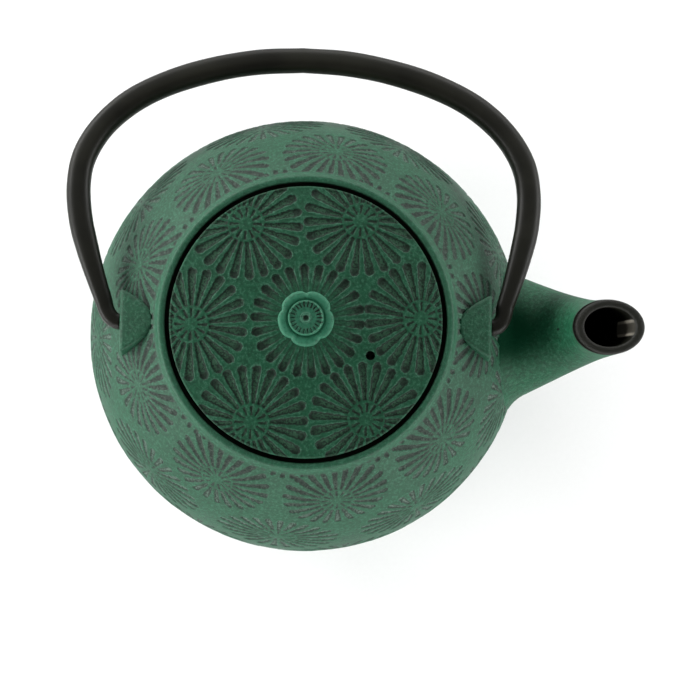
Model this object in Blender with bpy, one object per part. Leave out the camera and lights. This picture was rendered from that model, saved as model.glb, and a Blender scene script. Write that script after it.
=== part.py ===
"""Cast iron teapot with a folding bail handle, a lift-off lid and a stainless infuser.

Metres, +Z up. The origin is the centre of the flat foot, the pot's axis is Z, and the spout points along +X.
"""

import math

import bmesh
import bpy
import numpy as np
from mathutils import Matrix, Vector

MM = 0.001
TURN = 2 * math.pi
GAP = 0.3  # running gap that every pair of touching pieces keeps

# Driving dimensions, in millimetres.
BELLY_R = 75.0  # radius of the pot at its widest
BELLY_Z = 47.0  # height of the widest level over the foot
UPPER_C = 67.0  # half height of the spheroid above the widest level
LOWER_C = 56.0  # and below it
WALL = 3.5
FLOOR = 4.0

NECK_TOP = 99.6
NECK_R = 49.4  # outer radius of the plain neck ring
NECK_FILLET = 1.2
SEAT_R = 46.5  # radius of the recess that the lid sits in
SEAT_Z = 95.6  # level of its ledge
LEDGE = 3.6  # thickness of that ledge
MOUTH_R = 40.6

LID_R = 45.0
LID_EDGE = 3.0  # height of the lid's rim
LID_RISE = 5.0  # of the dome over the rim
LID_WALL = 3.2
LID_BASE = 97.2
FLANGE_R = 38.6
FLANGE_WALL = 3.0
FLANGE_END = 91.5
STEM_R = 2.9
VENT_R = 1.55
VENT_AT = (24.0, math.radians(-27.5))  # distance from the axis, and angle

KNOB_R = 9.2
KNOB_LOBES = 5
KNOB_VALLEY = 0.11  # depth of the valleys between the lobes, as a part of the radius
KNOB_DISC_R = 5.7
WASHER_R = 7.0
WASHER_T = 1.0
PEEN_R = 5.0
PEEN_T = 1.6

PIVOT_Z = 89.0
LUG_FACE_X = 61.7
LUG_TIP_X = 50.4
LUG_HALF_W = 10.6
LUG_TOP = 93.6  # at the upright face
LUG_RISE = 2.6  # from there to the tip
LUG_FOOT = 78.0
LUG_DRAFT = 1.12  # the foot is this much wider than the top
PIN_R = 2.5
PIN_HOLE_R = 2.9
PIN_END_X = 58.6

ROD_R = 4.25
HANDLE_DROP = math.radians(12)  # how far below level the handle lies behind the pot
HOOP_LEAN = (0.4, 0.022)  # the hand-bent hoop leans this far to the left: at its foot, and more per mm of height

INFUSER_R = 40.0
INFUSER_WALL = 0.6
INFUSER_FOOT_R = 38.0
INFUSER_BOTTOM = 50.0
INFUSER_TOP = 96.9
RIM_OUT_R = 45.4
RIM_T = 1.0

# The spout's outline seen from the side, as pairs of points (x, z) on its upper and its lower line, with the
# half width of the section through both. The first station is buried in the pot and the last is the level mouth.
SPOUT_STATIONS = (
    ((56.0, 77.0), (60.0, 23.0), 27.0),
    ((69.5, 78.0), (73.0, 32.0), 22.0),
    ((77.2, 79.2), (82.8, 45.0), 17.9),
    ((83.3, 84.5), (94.2, 62.0), 13.5),
    ((87.0, 92.5), (104.2, 81.5), 10.2),
    ((88.0, 100.5), (111.7, 100.5), 9.1),
)
SPOUT_SPANS = 2  # rings from one station to the next
SPOUT_WALL = 2.6
SPOUT_WALL_ALONG = 3.0  # wall on the upper and the lower line, where the level mouth cuts it on a slant

LATHE_STEPS = 56
SMALL_STEPS = 32
KNOB_STEPS = 40


def clear_scene():
    for obj in list(bpy.data.objects):
        bpy.data.objects.remove(obj, do_unlink=True)


def material(name, colour, roughness, metallic):
    made = bpy.data.materials.new(name)
    made.use_nodes = True
    shader = made.node_tree.nodes["Principled BSDF"]
    shader.inputs["Base Color"].default_value = (*colour, 1)
    shader.inputs["Roughness"].default_value = roughness
    shader.inputs["Metallic"].default_value = metallic
    return made


def object_from(name, bm, surface=None):
    """An object from a bmesh in millimetres, shaded smooth with sharp edges at its corners."""
    bmesh.ops.remove_doubles(bm, verts=bm.verts, dist=1e-4)
    bmesh.ops.recalc_face_normals(bm, faces=bm.faces)
    bmesh.ops.transform(bm, matrix=Matrix.Scale(MM, 4), verts=bm.verts)
    mesh = bpy.data.meshes.new(name)
    bm.to_mesh(mesh)
    bm.free()
    mesh.shade_smooth()
    mesh.set_sharp_from_angle(angle=math.radians(35))
    obj = bpy.data.objects.new(name, mesh)
    bpy.context.scene.collection.objects.link(obj)
    if surface:
        mesh.materials.append(surface)
    return obj


def helper(obj):
    """Marks a shape that only joins or cuts another."""
    obj.hide_render = True
    obj.display_type = "WIRE"
    return obj


def boolean(obj, other, operation):
    step = obj.modifiers.new(f"{operation.lower()} {other.name}", "BOOLEAN")
    step.operation = operation
    step.solver = "EXACT"
    step.object = helper(other)


def lathe(name, profile, steps, surface=None, closed=False):
    """Turns (radius, z) points round the Z axis. An open profile starts and ends on the axis."""
    bm = bmesh.new()
    verts = [bm.verts.new((r, 0, z)) for r, z in profile]
    pairs = list(zip(verts, verts[1:]))
    if closed:
        pairs.append((verts[-1], verts[0]))
    edges = [bm.edges.new(pair) for pair in pairs]
    bmesh.ops.spin(bm, geom=verts + edges, cent=(0, 0, 0), axis=(0, 0, 1), angle=TURN, steps=steps, use_merge=True)
    return object_from(name, bm, surface)


def loft(name, rings, surface=None):
    """One closed skin over rings of equally many points, with a flat cap at each end."""
    bm = bmesh.new()
    loops = [[bm.verts.new(point) for point in ring] for ring in rings]
    for low, high in zip(loops, loops[1:]):
        for i in range(len(low)):
            j = (i + 1) % len(low)
            bm.faces.new((low[i], low[j], high[j], high[i]))
    bm.faces.new(loops[0][::-1])
    bm.faces.new(loops[-1])
    return object_from(name, bm, surface)


def spheroid_r(z, r, upper, lower):
    """Radius at height z of the pot's spheroid, whose upper and lower halves differ in height."""
    half = upper if z > BELLY_Z else lower
    return r * math.sqrt(1 - ((z - BELLY_Z) / half) ** 2)


def smooth_through(points, per_span):
    """Catmull-Rom spline through rows of numbers."""
    rows = np.array(points, float)
    rows = np.vstack([2 * rows[0] - rows[1], rows, 2 * rows[-1] - rows[-2]])
    found = []
    for a, b, c, d in zip(rows, rows[1:], rows[2:], rows[3:]):
        for t in np.arange(per_span) / per_span:
            pull = 2 * b + (c - a) * t + (2 * a - 5 * b + 4 * c - d) * t**2 + (3 * b - a - 3 * c + d) * t**3
            found.append(pull / 2)
    return found + [rows[-2]]


# The pot ---------------------------------------------------------------------------------------------------


def pot_outside():
    """The outer shape as one solid: flat foot, belly, shoulder, fillet and the plain neck ring."""
    shoulder_z = BELLY_Z + UPPER_C * math.sqrt(1 - ((NECK_R + NECK_FILLET) / BELLY_R) ** 2)
    profile = [(0, 0), (spheroid_r(0, BELLY_R, UPPER_C, LOWER_C), 0)]
    for z in np.linspace(0, BELLY_Z, 9)[1:]:
        profile.append((spheroid_r(z, BELLY_R, UPPER_C, LOWER_C), z))
    for z in BELLY_Z + (shoulder_z - BELLY_Z) * np.sin(np.radians(np.linspace(0, 90, 9)[1:])):
        profile.append((spheroid_r(z, BELLY_R, UPPER_C, LOWER_C), z))
    profile += [(NECK_R, shoulder_z + NECK_FILLET), (NECK_R, NECK_TOP - 0.6), (NECK_R - 0.6, NECK_TOP), (0, NECK_TOP)]
    return profile


def pot_inside():
    """The hollow: cavity, mouth and lid recess, run past the neck's top so that it cuts clean."""
    under_ledge = SEAT_Z - LEDGE
    inner = (BELLY_R - WALL, UPPER_C - WALL, LOWER_C - WALL)
    profile = [(0, FLOOR), (spheroid_r(FLOOR + 2, *inner) - 3, FLOOR)]
    for z in np.linspace(FLOOR + 2, under_ledge, 12):
        profile.append((spheroid_r(z, *inner), z))
    profile += [(MOUTH_R, under_ledge), (MOUTH_R, SEAT_Z), (SEAT_R, SEAT_Z), (SEAT_R, NECK_TOP + 2), (0, NECK_TOP + 2)]
    return profile


def spout_rings(inset_along, inset_across, steps):
    """Oval sections of the spout, shrunk by a wall along the side outline and across it."""
    rows = [(*top, *bottom, width) for top, bottom, width in SPOUT_STATIONS]
    rings = []
    for row in smooth_through(rows, SPOUT_SPANS):
        top, bottom = Vector((row[0], 0, row[1])), Vector((row[2], 0, row[3]))
        along = (bottom - top).normalized()
        reach = (bottom - top).length / 2 - inset_along
        centre = (top + bottom) / 2
        across = Vector((0, row[4] - inset_across, 0))
        turn = [TURN * i / steps for i in range(steps)]
        rings.append([centre + along * reach * math.cos(a) + across * math.sin(a) for a in turn])
    return rings


def spout_outside():
    return loft("spout_outer_shape", spout_rings(0, 0, 24))


def spout_bore():
    rings = spout_rings(SPOUT_WALL_ALONG, SPOUT_WALL, 16)
    past_mouth = [point + Vector((0.5, 0, 2)) for point in rings[-1]]
    return loft("spout_bore", rings + [past_mouth])


def lug(side):
    """An ear on the shoulder: flat upright outer face, and sides that close in a parabola towards the lid."""
    depth = LUG_FACE_X - LUG_TIP_X
    across = np.linspace(-1, 1, 11)
    foot = []
    top = []
    for y in across:
        inward = 1 - y * y
        x = LUG_FACE_X - depth * inward
        foot.append((side * x, y * LUG_HALF_W * LUG_DRAFT, LUG_FOOT))
        top.append((side * x, y * LUG_HALF_W, LUG_TOP + LUG_RISE * inward))
    obj = loft("lug_left_shape" if side < 0 else "lug_right_shape", [foot, top])
    edges = obj.modifiers.new("round edges", "BEVEL")
    edges.width = 0.8 * MM
    edges.segments = 2
    edges.limit_method = "ANGLE"
    edges.angle_limit = math.radians(50)
    return obj


def pin_hole(side):
    """A blind hole for the handle's pin, from outside the ear's face inwards."""
    ring = [(PIN_HOLE_R * math.cos(TURN * i / 20), PIN_HOLE_R * math.sin(TURN * i / 20)) for i in range(20)]
    ends = (PIN_END_X - 2 * GAP, LUG_FACE_X + 2)
    rings = [[(side * x, y, PIVOT_Z + z) for y, z in ring] for x in ends]
    return loft("pin_hole_left" if side < 0 else "pin_hole_right", rings)


def build_body(surface):
    body = lathe("body_casting", pot_outside(), LATHE_STEPS, surface)
    boolean(body, spout_outside(), "UNION")
    for side in (-1, 1):
        boolean(body, lug(side), "UNION")
    boolean(body, lathe("pot_hollow", pot_inside(), LATHE_STEPS), "DIFFERENCE")
    boolean(body, spout_bore(), "DIFFERENCE")
    for side in (-1, 1):
        boolean(body, pin_hole(side), "DIFFERENCE")
    return body


# The lid ---------------------------------------------------------------------------------------------------


def dome_z(r, base):
    """Height of the lid's shallow dome at radius r, when its rim is at base."""
    return base + LID_RISE * (1 - (r / LID_R) ** 2)


def build_lid(surface):
    edge_top = LID_BASE + LID_EDGE
    under = edge_top - LID_WALL
    profile = [(STEM_R + GAP, dome_z(STEM_R, under))]
    for r in np.linspace(STEM_R + GAP, FLANGE_R - FLANGE_WALL, 5)[1:]:
        profile.append((r, dome_z(r, under)))
    profile += [(FLANGE_R - FLANGE_WALL, FLANGE_END), (FLANGE_R, FLANGE_END), (FLANGE_R, LID_BASE)]
    profile += [(LID_R - 0.5, LID_BASE), (LID_R, LID_BASE + 0.5), (LID_R, edge_top - 0.8)]
    for r in np.linspace(LID_R - 0.5, STEM_R + GAP, 7):
        profile.append((r, dome_z(r, edge_top)))
    lid = lathe("lid_casting", profile, LATHE_STEPS, surface, closed=True)
    distance, angle = VENT_AT
    x, y = distance * math.cos(angle), distance * math.sin(angle)
    ring = [(x + VENT_R * math.cos(TURN * i / 16), y + VENT_R * math.sin(TURN * i / 16)) for i in range(16)]
    ends = (LID_BASE, edge_top + LID_RISE + 2)
    vent = loft("vent_hole", [[(px, py, z) for px, py in ring] for z in ends])
    boolean(lid, vent, "DIFFERENCE")
    return lid


def lobe_radius(angle, r, depth):
    """Radius of the five-lobed outline, whose valleys are narrow and whose lobes are broad."""
    return r * (1 - depth * (1 - abs(math.sin(KNOB_LOBES * (angle - math.pi / 2) / 2))) ** 2)


def build_knob(surface):
    """The knob with its stem, which runs through the lid and is peened over the washer."""
    top = dome_z(0, LID_BASE + LID_EDGE)
    washer_top = dome_z(WASHER_R, LID_BASE + LID_EDGE - LID_WALL) - GAP
    peen_top = washer_top - WASHER_T - GAP
    seat = top + GAP
    # radius, height, and how far the outline is lobed
    stack = (
        (PEEN_R * 0.55, peen_top - PEEN_T, 0),
        (PEEN_R * 0.9, peen_top - PEEN_T * 0.6, 0),
        (PEEN_R, peen_top, 0),
        (STEM_R, peen_top, 0),
        (STEM_R, seat, 0),
        (5.4, seat, 0),
        (5.2, seat + 0.8, 0),
        (4.3, seat + 2.2, 0),
        (4.7, seat + 3.6, 0),
        (7.4, seat + 5.0, 0.5),
        (KNOB_R, seat + 5.8, 1),
        (KNOB_R, seat + 6.9, 1),
        (KNOB_R - 0.9, seat + 7.7, 1),
        (KNOB_DISC_R + 0.7, seat + 7.9, 0.2),
        (KNOB_DISC_R, seat + 7.7, 0),
        (KNOB_DISC_R - 0.2, seat + 8.7, 0),
        (KNOB_DISC_R - 0.9, seat + 8.7, 0),
        (KNOB_DISC_R - 1.2, seat + 8.3, 0),
    )
    rings = []
    for radius, z, lobed in stack:
        ring = []
        for i in range(KNOB_STEPS):
            angle = TURN * i / KNOB_STEPS
            r = lobe_radius(angle, radius, KNOB_VALLEY * lobed)
            ring.append((r * math.cos(angle), r * math.sin(angle), z))
        rings.append(ring)
    return loft("lid_knob", rings, surface)


def build_washer(surface):
    top = dome_z(WASHER_R, LID_BASE + LID_EDGE - LID_WALL) - GAP
    inner = STEM_R + GAP
    profile = [(inner, top - WASHER_T), (WASHER_R, top - WASHER_T), (WASHER_R, top), (inner, top)]
    return lathe("knob_washer", profile, SMALL_STEPS, surface, closed=True)


# The handle ------------------------------------------------------------------------------------------------

# Half of the hoop in its own plane: distance from the middle, and distance from the pivot axis.
HOOP_HALF = (
    (0.0, 95.0),
    (15.0, 94.1),
    (30.0, 91.2),
    (45.0, 86.2),
    (58.0, 79.2),
    (68.0, 69.8),
    (74.2, 59.0),
    (76.1, 48.0),
    (75.2, 36.0),
    (72.6, 25.0),
    (69.6, 15.0),
    (66.9, 7.0),
)
HOOP_BEND = ((66.3, 4.3), (65.3, 2.1), (63.9, 0.6), (62.4, 0.0), (61.0, 0.0))


def rod_radius(along_arm, x):
    """The rod thins over its last 30 mm before the ears, and the pins are thinner still."""
    if x < LUG_FACE_X + GAP and along_arm < PIN_R:
        return PIN_R
    return min(ROD_R, PIN_R + (ROD_R - PIN_R) * (along_arm + 3.5) / 34)


def lean_at(along_arm):
    """How far the hoop stands to the left of the middle, fading out where it bends in to the pins."""
    return (HOOP_LEAN[0] + HOOP_LEAN[1] * along_arm) * min(1, along_arm / HOOP_HALF[-1][1])


def build_handle(surface):
    """A tapered round rod bent to a hoop, whose turned-in ends are the pins. Its origin is on the pivot axis."""
    arm = [tuple(row) for row in smooth_through(HOOP_HALF, 2)]
    bend = [tuple(row) for row in smooth_through((HOOP_HALF[-1], *HOOP_BEND), 2)][1:]
    half = arm + bend + [(PIN_END_X + 0.8, 0.0), (PIN_END_X, 0.0)]
    route = [(-x, v) for x, v in half[::-1]] + half[1:]
    curve = bpy.data.curves.new("bail_handle", "CURVE")
    curve.dimensions = "3D"
    curve.bevel_depth = ROD_R * MM
    curve.bevel_resolution = 2
    curve.use_fill_caps = True
    spline = curve.splines.new("POLY")
    spline.points.add(len(route) - 1)
    for point, (x, v) in zip(spline.points, route):
        point.co = ((x - lean_at(v)) * MM, v * MM, 0, 1)
        point.radius = rod_radius(v, abs(x)) / ROD_R
    curve.materials.append(surface)
    handle = bpy.data.objects.new("bail_handle", curve)
    bpy.context.scene.collection.objects.link(handle)
    handle.location = (0, 0, PIVOT_Z * MM)
    handle.rotation_euler = (-HANDLE_DROP, 0, 0)
    return handle


# The infuser -----------------------------------------------------------------------------------------------


def build_infuser(rim_surface, mesh_surface):
    hang = SEAT_Z + GAP
    inner = INFUSER_R + GAP
    rim = [(inner, hang), (RIM_OUT_R - 0.4, hang), (RIM_OUT_R, hang + RIM_T / 2)]
    rim += [(RIM_OUT_R - 0.4, hang + RIM_T), (inner, hang + RIM_T)]
    lathe("infuser_rim", rim, LATHE_STEPS, rim_surface, closed=True)

    lip = 2.0
    foot_in = INFUSER_FOOT_R - lip
    wall = [(foot_in, INFUSER_BOTTOM), (INFUSER_FOOT_R - 1, INFUSER_BOTTOM), (INFUSER_FOOT_R, INFUSER_BOTTOM + 1)]
    wall += [(INFUSER_R, INFUSER_TOP - 8), (INFUSER_R, INFUSER_TOP), (INFUSER_R - INFUSER_WALL, INFUSER_TOP)]
    wall += [(INFUSER_R - INFUSER_WALL, INFUSER_TOP - 8), (INFUSER_FOOT_R - INFUSER_WALL, INFUSER_BOTTOM + 1.3)]
    wall += [(INFUSER_FOOT_R - 1.3, INFUSER_BOTTOM + INFUSER_WALL), (foot_in, INFUSER_BOTTOM + INFUSER_WALL)]
    lathe("infuser_basket", wall, LATHE_STEPS, mesh_surface, closed=True)

    low = INFUSER_BOTTOM + INFUSER_WALL + GAP
    edge = INFUSER_FOOT_R - INFUSER_WALL - 3 * GAP
    disc = [(0, low), (edge, low), (edge, low + INFUSER_WALL), (0, low + INFUSER_WALL)]
    lathe("infuser_floor", disc, LATHE_STEPS, mesh_surface)


def main():
    clear_scene()
    green = (0.035, 0.115, 0.072)
    build_body(material("green_enamelled_iron", green, 0.55, 0.0))
    build_lid(material("green_enamelled_lid", green, 0.55, 0.0))
    build_knob(material("green_enamelled_knob", (0.045, 0.14, 0.09), 0.5, 0.0))
    build_washer(material("washer_steel", (0.45, 0.45, 0.44), 0.4, 1.0))
    build_handle(material("black_iron", (0.018, 0.018, 0.014), 0.45, 0.0))
    build_infuser(material("rim_steel", (0.6, 0.6, 0.6), 0.25, 1.0), material("mesh_steel", (0.5, 0.5, 0.5), 0.35, 1.0))


main()
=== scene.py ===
"""The cast iron teapot's looks: relief castings, enamel, handle and perforated infuser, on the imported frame."""

import math

import bmesh
import bpy
import numpy as np
from mathutils import Euler, Matrix, Vector


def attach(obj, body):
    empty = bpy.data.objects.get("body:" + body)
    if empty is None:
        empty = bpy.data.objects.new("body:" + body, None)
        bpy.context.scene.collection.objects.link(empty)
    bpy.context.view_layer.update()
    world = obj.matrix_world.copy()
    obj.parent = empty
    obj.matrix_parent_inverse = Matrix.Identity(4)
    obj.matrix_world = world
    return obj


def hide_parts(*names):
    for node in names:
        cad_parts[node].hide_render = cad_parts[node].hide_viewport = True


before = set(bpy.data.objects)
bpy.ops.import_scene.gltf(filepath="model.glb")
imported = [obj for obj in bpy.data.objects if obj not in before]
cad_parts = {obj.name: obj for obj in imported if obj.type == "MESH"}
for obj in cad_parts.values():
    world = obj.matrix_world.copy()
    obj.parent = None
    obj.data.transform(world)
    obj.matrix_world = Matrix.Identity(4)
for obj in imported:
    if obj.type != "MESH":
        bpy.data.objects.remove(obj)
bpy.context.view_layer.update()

MM = 0.001
TURN = 2 * math.pi

# The castings' dimensions in millimetres, as the frame has them.
BELLY_R, BELLY_Z, UPPER_C, LOWER_C = 75.0, 47.0, 67.0, 56.0
WALL, FLOOR = 3.5, 4.0
NECK_TOP, NECK_R, NECK_FILLET = 99.6, 49.4, 1.2
SEAT_R, SEAT_Z, LEDGE, MOUTH_R = 46.5, 95.6, 3.6, 40.6
LID_R, LID_EDGE, LID_RISE, LID_WALL, LID_BASE = 45.0, 3.0, 5.0, 3.2, 97.2
FLANGE_R, FLANGE_WALL, FLANGE_END = 38.6, 3.0, 91.5
STEM_R, VENT_R = 2.9, 1.55
VENT_AT = (24.0, math.radians(-27.5))
GAP = 0.3

# The relief. Ridges touch the frame's surface and the plain ground lies under it.
PETALS = 22
GROUND = 0.10  # depth of the plain ground
RECESS = 0.38  # depth of a petal under the ground


# One formula for mesh and shader --------------------------------------


class Socket:
    """A number in a shader with Python's arithmetic, so that one formula shapes the mesh and colours it."""

    def __init__(self, tree, out):
        self.tree, self.out = tree, out

    def __add__(self, other):
        return math_node("ADD", self, other)

    __radd__ = __add__

    def __mul__(self, other):
        return math_node("MULTIPLY", self, other)

    __rmul__ = __mul__

    def __sub__(self, other):
        return math_node("SUBTRACT", self, other)

    def __rsub__(self, other):
        return self * -1 + other

    def __truediv__(self, other):
        return math_node("DIVIDE", self, other)


def feed(tree, socket, value):
    """Links a Socket to a node's input, or sets the input to a number."""
    if isinstance(value, Socket):
        tree.links.new(value.out, socket)
    else:
        socket.default_value = value


def math_node(operation, *values):
    """A Math node's result. At least one of the values is a Socket."""
    tree = next(value.tree for value in values if isinstance(value, Socket))
    node = tree.nodes.new("ShaderNodeMath")
    node.operation = operation
    for socket, value in zip(node.inputs, values):
        feed(tree, socket, value)
    return Socket(tree, node.outputs[0])


def either(operation, numpy_call):
    """A function that is a Math node for sockets and numpy's own for arrays."""

    def call(*values):
        if any(isinstance(value, Socket) for value in values):
            return math_node(operation, *values)
        return numpy_call(*values)

    return call


floor = either("FLOOR", np.floor)
size = either("ABSOLUTE", np.abs)
least = either("MINIMUM", np.minimum)
most = either("MAXIMUM", np.maximum)
root = either("SQRT", np.sqrt)
atan2 = either("ARCTAN2", np.arctan2)
sine = either("SINE", np.sin)
above = either("GREATER_THAN", lambda a, b: (np.asarray(a) > b).astype(float))


def step(low, high, x):
    """0 below low, 1 above high and smooth between."""
    if not isinstance(x, Socket):
        t = np.clip((x - low) / (high - low), 0, 1)
        return t * t * (3 - 2 * t)
    node = x.tree.nodes.new("ShaderNodeMapRange")
    node.interpolation_type = "SMOOTHSTEP"
    feed(x.tree, node.inputs["Value"], x)
    feed(x.tree, node.inputs["From Min"], low)
    feed(x.tree, node.inputs["From Max"], high)
    return Socket(x.tree, node.outputs["Result"])


def hypot(a, b):
    return root(a * a + b * b)


LID_SHARE, BODY_SHARE = 0.285, 0.245  # half a petal's width over the petals' pitch
PETAL_FROM, PETAL_TIP = 6.2, 18.75  # distances of a petal's ends from the flower's middle
PETAL_TURN = math.radians(5.4)
DASHES = 12
DASH_SHARE = 0.15
DASH_TURN = math.radians(25.6)
DASH_MIDDLE, DASH_HALF = 3.9, 1.45
NO_DASH = 9.0  # a distance to the dashes for a flower that has none


def spokes(angle, r, count):
    """Distance in mm to the nearest of count evenly spaced spokes, and the spokes' pitch at r."""
    turns = angle * (count / TURN)
    pitch = r * (TURN / count)
    return size(turns - floor(turns + 0.5)) * pitch, pitch


def flower(u, v, share, reach=1.0, petal_turn=PETAL_TURN):
    """Distances in mm to the edges of a flower's petals and of the short dashes round its middle, negative
    inside, and to that middle. reach stretches the petals."""
    r = hypot(u, v)
    angle = atan2(v, u)
    across, pitch = spokes(angle - petal_turn, r, PETALS)
    tip_half = share * TURN / PETALS * (PETAL_TIP - 1.35)
    petal = hypot(across, most(r - (reach * PETAL_TIP - tip_half), 0.0)) - least(pitch * share, tip_half)
    petal = most(petal, PETAL_FROM - r)
    across, pitch = spokes(angle - DASH_TURN, r, DASHES)
    dash = most(across - pitch * DASH_SHARE, size(r - DASH_MIDDLE) - DASH_HALF)
    return petal, dash, r


def marks(petal, dash, r, soft):
    """Recess, ridge and edge from 0 to 1: sunk petals and dashes, a raised line round them, and a line of painted
    shade along the inside of their walls.
    """
    near = least(petal, dash)
    sunk = 1 - step(-0.25 - soft, 0.12 + soft, near)
    line = (1 - step(0.05, 0.27 + soft, size(petal - 0.30))) * step(6.5, 9.5, r)
    # painted shade in the crease at the foot of each recess wall
    edge = 1 - step(0.12, 0.34, size(near + 0.16))
    return sunk, line, edge


LID_RING = 37.8  # distance of the six outer flowers from the lid's axis
LID_FIRST = math.radians(2.5)  # azimuth of the first of them
LID_MIDDLE, LID_MIDDLE_TURN = (0.7, -0.1), math.radians(13.2)  # the flower round the knob


def lid_marks(x, y, soft):
    """Recess and ridge of the lid's seven flowers at a point in mm, and how dark the recess is: the petals' dark
    tips and painted shade along their edges.
    """
    sixth = TURN / 6
    angle = atan2(y, x) - LID_FIRST
    folded = angle - floor(angle / sixth + 0.5) * sixth
    far = hypot(x, y)
    u, v = far * sine(folded + TURN / 4) - LID_RING, far * sine(folded)
    petal, dash, r = flower(u, v, LID_SHARE)
    sunk_out, line_out, shade_edge_out = marks(petal, dash, r, soft)
    tip_out = sunk_out * step(15.2, 17.4, r)
    petal, _, r = flower(x - LID_MIDDLE[0], y - LID_MIDDLE[1], LID_SHARE, 1.0, LID_MIDDLE_TURN)
    sunk_in, line_in, shade_edge_in = marks(petal, NO_DASH, r, soft)
    tip_in = sunk_in * step(13.5, 17.2, r)
    # this flower is worn faint near the knob
    sunk_in = sunk_in * (0.32 + step(12.0, 16.5, r) * 0.63)
    outer_part = step(10.5, 15.5, r)
    line_in, shade_edge_in = line_in * (0.35 + outer_part * 0.65), shade_edge_in * (0.5 + outer_part * 0.5)
    dark = most(tip_out * 0.75, tip_in * 0.75)
    # darkness: the real dark of the tips, and painted shade along the petals' edges
    return most(sunk_out, sunk_in), most(line_out, line_in), most(dark, most(shade_edge_out, shade_edge_in) * 0.85)


ROW_PITCH = 22.4  # along the meridian
TOP_ROW = 44.7  # arc from the widest level to the middles of the highest whole row
FLOWERS_ROUND = 9
ROW_AZIMUTHS = (1.0, 23.0)  # of the first flower in every other row, and in the rows between
FLOWER_HALF_ANGLE = math.radians(17.4)
FLOWER_HALF_HEIGHT = 15.0
PATTERN_FOOT, PATTERN_TOP = (-38.0, -35.0), (56.5, 58.0)  # arcs over which the pattern fades in and out
SHOULDER_ARC = 58.5  # where the neck ring begins


def arc_height(x, y, z):
    """Length along the pot's meridian from its widest level, near enough, negative below it."""
    upper = above(z, BELLY_Z)
    half = upper * (UPPER_C - LOWER_C) + LOWER_C
    lean = atan2((z - BELLY_Z) / half, hypot(x, y) / BELLY_R)
    extra = (BELLY_R**2 - half * half) / (half * 2)
    return half * lean + extra * (lean * 0.5 - sine(lean * 2) * 0.25)


def body_marks(x, y, z, soft):
    """Recess and ridge of the pot's rows of nested flowers, and how dark the recess is: painted shade along the
    petals' edges and over the recesses high on the shoulder.
    """
    azimuth = atan2(y, x)
    arc = arc_height(x, y, z)
    share = TURN / FLOWERS_ROUND
    found = []
    for number, first_azimuth in enumerate(ROW_AZIMUTHS):
        first_arc = TOP_ROW - number * ROW_PITCH
        row = floor((arc - first_arc) / (2 * ROW_PITCH) + 0.5)
        turned = azimuth - math.radians(first_azimuth)
        u = (turned - floor(turned / share + 0.5) * share) * (PETAL_TIP / FLOWER_HALF_ANGLE)
        v = (arc - first_arc - row * (2 * ROW_PITCH)) * (PETAL_TIP / FLOWER_HALF_HEIGHT)
        # petals that point up or down the pot are shorter, but the top row's reach further up
        rise = v / (hypot(u, v) + 0.01)
        top_row = above(arc, ROW_PITCH) if number == 0 else 0.0
        reach = (top_row * (rise + size(rise)) - size(rise)) * 0.2 + 1
        petal, dash, r = flower(u, v, BODY_SHARE, reach)
        found.append(marks(petal, dash, r, soft))
    shown = step(*PATTERN_FOOT, arc) * (1 - step(*PATTERN_TOP, arc))
    sunk, line, edge = (most(one, other) * shown for one, other in zip(*found))
    # painted shade: dark along the petals' edges, and over the recesses from arc 30 mm up
    return sunk, line, most(edge * 0.8, sunk * step(30.0, 50.0, arc) * 0.8)


# Meshes ---------------------------------------------------------------


def add_object(name, data):
    """A new object in the scene."""
    made = bpy.data.objects.new(name, data)
    bpy.context.scene.collection.objects.link(made)
    return made


def face_outwards(mesh):
    """Turns a closed mesh's faces outwards if its volume says that they face in."""
    mesh.calc_loop_triangles()
    points = np.empty(len(mesh.vertices) * 3)
    mesh.vertices.foreach_get("co", points)
    corners = np.empty(len(mesh.loop_triangles) * 3, np.int32)
    mesh.loop_triangles.foreach_get("vertices", corners)
    a, b, c = (points.reshape(-1, 3)[corners.reshape(-1, 3)[:, k]] for k in range(3))
    if (np.cross(a, b) * c).sum() < 0:
        mesh.flip_normals()


def mesh_piece(name, points, faces, body, slot, nodes, surfaces, face_surface=None, sharp=40, closed=True):
    """A piece from points in mm and faces (arrays of equal-length faces, or lists), riding on a body."""
    mesh = bpy.data.meshes.new(name)
    loops = np.concatenate([np.asarray(block, np.int32).ravel() for block in faces])
    counts = np.concatenate([np.full(len(block), len(block[0]), np.int32) for block in faces])
    points = np.asarray(points, np.float64) * MM
    mesh.vertices.add(len(points))
    mesh.vertices.foreach_set("co", points.ravel())
    mesh.loops.add(len(loops))
    mesh.loops.foreach_set("vertex_index", loops)
    mesh.polygons.add(len(counts))
    mesh.polygons.foreach_set("loop_start", np.concatenate([[0], np.cumsum(counts)[:-1]]).astype(np.int32))
    mesh.polygons.foreach_set("loop_total", counts)
    mesh.update(calc_edges=True)
    for surface in surfaces:
        mesh.materials.append(surface)
    if face_surface is not None:
        mesh.polygons.foreach_set("material_index", np.asarray(face_surface, np.int32))
    mesh.shade_smooth()
    if sharp:
        mesh.set_sharp_from_angle(angle=math.radians(sharp))
    if closed:
        face_outwards(mesh)
    piece = add_object(name, mesh)
    if body:
        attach(piece, body)
        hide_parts(*nodes)
    return piece


def angles(count):
    """As many angles, evenly spaced over a full turn."""
    return TURN * np.arange(count) / count


def band(first, second, around):
    """Quads between two closed rings of as many points, given by the index of each ring's first point."""
    i = np.arange(around)
    j = (i + 1) % around
    return np.stack([first + i, first + j, second + j, second + i], 1)


def loft_faces(rows, around, closed_rows=False):
    """Faces between neighbouring rings of as many points, closed by a last row or by two flat caps."""
    last = (rows - 1) * around
    blocks = [band(k * around, (k + 1) * around, around) for k in range(rows - 1)]
    if closed_rows:
        return [*blocks, band(last, 0, around)]
    i = np.arange(around)
    return [*blocks, i[::-1][None], (i + last)[None]]


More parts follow.
